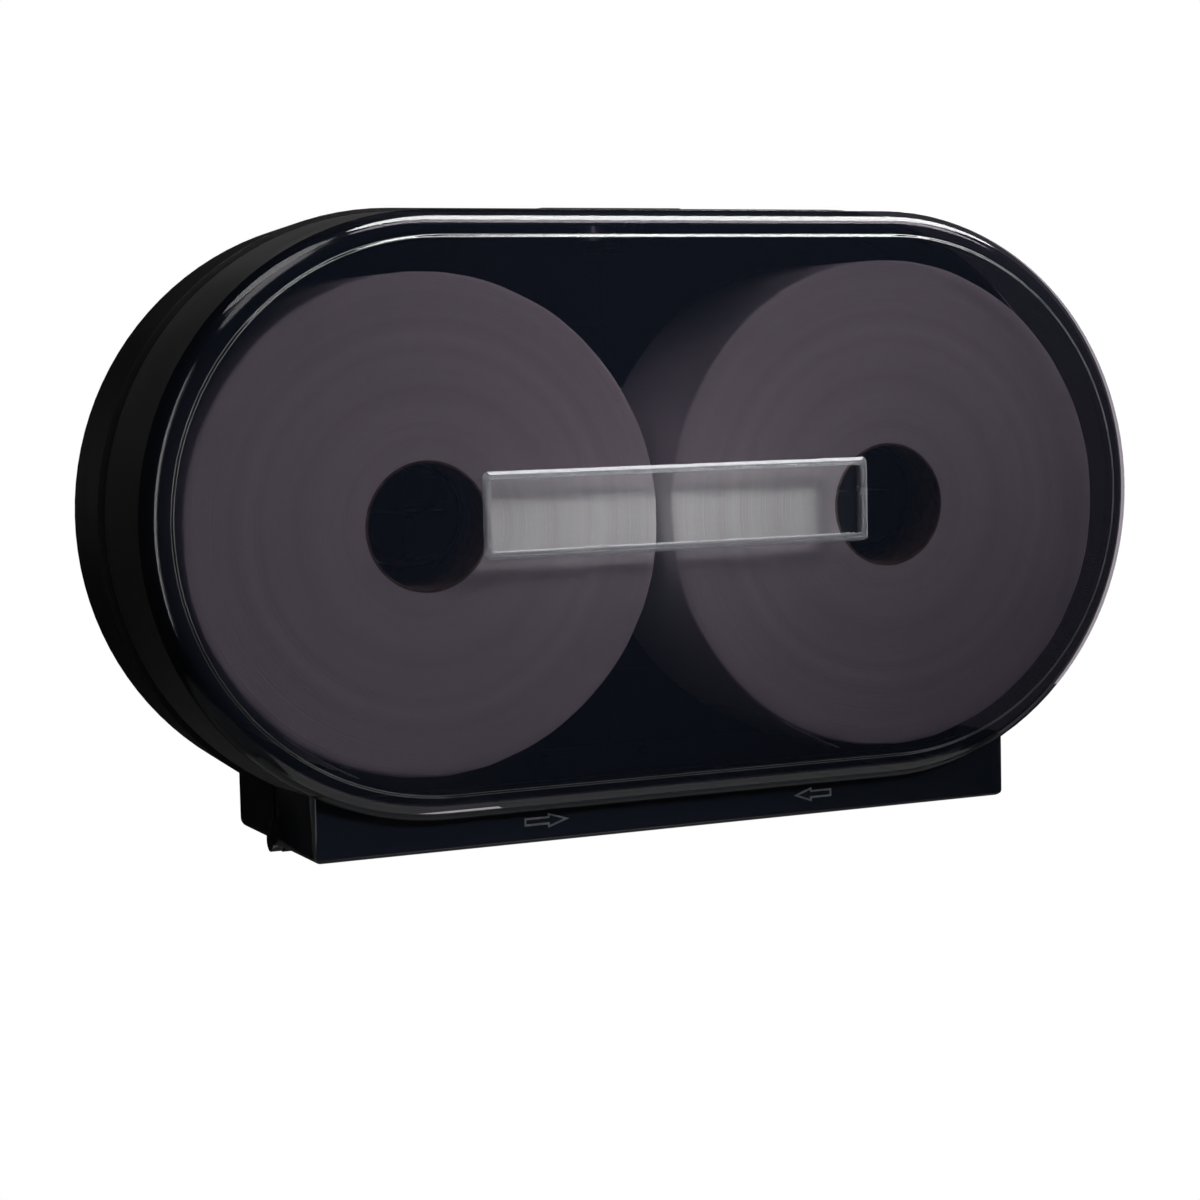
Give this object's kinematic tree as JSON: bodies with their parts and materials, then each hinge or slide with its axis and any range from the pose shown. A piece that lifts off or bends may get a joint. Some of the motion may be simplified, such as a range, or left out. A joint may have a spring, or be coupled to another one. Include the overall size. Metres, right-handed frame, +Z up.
{
  "type": "jumbo toilet roll dispenser",
  "caption": "Wall-mounted twin jumbo toilet roll dispenser: smoke cover with clear window and skirt, hinged on a black casing over two rolls, with a sliding outlet gate and a lock.",
  "frame": {"origin": "middle of the four wall screws, on the wall plane at the height of the centres of the round ends", "axes": "+X from the left roll to the right roll as seen from the room, +Y into the wall, +Z up"},
  "size_m": [0.514, 0.1196, 0.2956],
  "materials": {
    "casing_black": "fine moulded texture",
    "smoke_cover": "transparent smoke, polished front, fine texture on the sides",
    "clear_window": "clear, polished",
    "spindle_black": "semi gloss",
    "frame_grey": "moulded",
    "gate_grey": "moulded",
    "steel": "zinc plated",
    "black_steel": "plated black",
    "lock_metal": "satin chrome",
    "tissue": "soft embossed tissue",
    "cardboard": "plain brown board"
  },
  "bodies": {
    "base": {"back_casing": "casing_black", "left_spindle": "spindle_black", "right_spindle": "spindle_black", "spindle_screws": "steel", "outlet_frame": "frame_grey", "frame_screws": "black_steel", "tear_bars": "steel", "tear_bar_rivets": "steel", "hinge_pins": "black_steel", "lock_housing": "lock_metal", "lock_nut": "black_steel"},
    "cover": {"cover_shell": "smoke_cover", "window_lens": "clear_window", "cover_catch": "black_steel", "catch_screws": "black_steel"},
    "gate": {"slide_gate": "gate_grey"},
    "lock": {"lock_plug": "lock_metal", "lock_cam": "black_steel", "cam_screw": "black_steel"},
    "left_paper": {"left_roll": "tissue", "left_core": "cardboard"},
    "right_paper": {"right_roll": "tissue", "right_core": "cardboard"}
  },
  "joints": [
    {"name": "cover_hinge", "type": "hinge", "parent": "base", "child": "cover", "pos_m": [0, -0.0545, -0.1485], "axis": [1, 0, 0], "range_deg": [0, 95]},
    {"name": "gate_slide", "type": "slide", "parent": "base", "child": "gate", "axis": [-1, 0, 0], "range_m": [0, 0.205]},
    {"name": "lock_turn", "type": "hinge", "parent": "base", "child": "lock", "pos_m": [0, -0.03, 0.13], "axis": [0, 0, 1], "range_deg": [0, 90]},
    {"name": "left_roll_spin", "type": "hinge", "parent": "base", "child": "left_paper", "pos_m": [-0.1195, -0.0595, -0.0043], "axis": [0, 1, 0], "continuous": true},
    {"name": "right_roll_spin", "type": "hinge", "parent": "base", "child": "right_paper", "pos_m": [0.1195, -0.0595, -0.0043], "axis": [0, 1, 0], "continuous": true}
  ]
}
